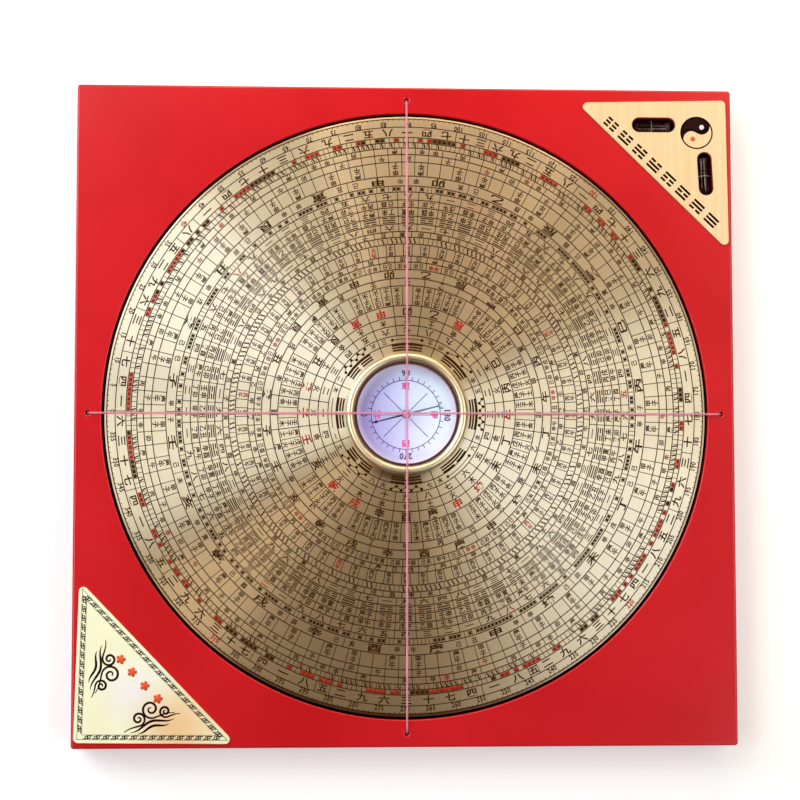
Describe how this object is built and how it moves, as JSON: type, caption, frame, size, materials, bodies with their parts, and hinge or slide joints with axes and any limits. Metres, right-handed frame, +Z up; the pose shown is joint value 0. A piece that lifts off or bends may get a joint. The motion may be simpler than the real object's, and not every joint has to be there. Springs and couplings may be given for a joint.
{
  "type": "feng shui compass",
  "caption": "Square lacquered board with a round scaled dial that turns in its recess, a glazed magnetic compass at the centre, spirit levels and crossed sighting threads.",
  "frame": {"origin": "centre of the board's underside, under the dial's axis", "axes": "+Z up along the dial's axis, +X to the right and +Y away from the user as in the picture"},
  "size_m": [0.286, 0.286, 0.0244],
  "materials": {
    "red_lacquer": "glossy red lacquer over a moulded board",
    "felt": "short dark felt",
    "plate_brass": "pale gold anodised, brushed",
    "thread_nylon": "translucent pink nylon",
    "black_phenolic": "black moulded phenolic",
    "dial_brass": "spun-brushed brass with dark printed scales",
    "turned_brass": "turned and polished brass",
    "seal_rubber": "dark red-brown rubber",
    "window_glass": "clear glass",
    "card_stock": "white printed card",
    "pivot_steel": "polished steel",
    "needle_steel": "blued steel",
    "jewel": "clear red jewel",
    "vial_glass": "clear glass",
    "vial_liquid": "clear pale liquid",
    "vial_stopper": "black rubber"
  },
  "bodies": {
    "board": {"base_board": "red_lacquer", "dial_felt": "felt", "level_plate": "plate_brass", "emblem_plate": "plate_brass", "sight_thread_x": "thread_nylon", "sight_thread_y": "thread_nylon", "thread_knots_x": "thread_nylon", "thread_knots_y": "thread_nylon", "level_vial_x": "vial_glass", "level_vial_y": "vial_glass", "vial_plug_x": "vial_stopper", "vial_plug_y": "vial_stopper", "vial_fluid_x": "vial_liquid", "vial_fluid_y": "vial_liquid"},
    "dial": {"dial_disc": "black_phenolic", "dial_plate": "dial_brass", "capsule_cup": "turned_brass", "capsule_nut": "turned_brass", "bezel_ring": "turned_brass", "glass_seal": "seal_rubber", "capsule_glass": "window_glass", "compass_card": "card_stock", "pivot_pin": "pivot_steel"},
    "needle": {"needle_blade": "needle_steel", "needle_cap": "turned_brass", "needle_jewel": "jewel"}
  },
  "joints": [
    {"name": "dial_turn", "type": "hinge", "parent": "board", "child": "dial", "pos_m": [0, 0, 0.009], "axis": [0, 0, 1], "continuous": true},
    {"name": "needle_swing", "type": "hinge", "parent": "dial", "child": "needle", "pos_m": [0, 0, 0.0162], "axis": [0, 0, 1], "continuous": true}
  ]
}
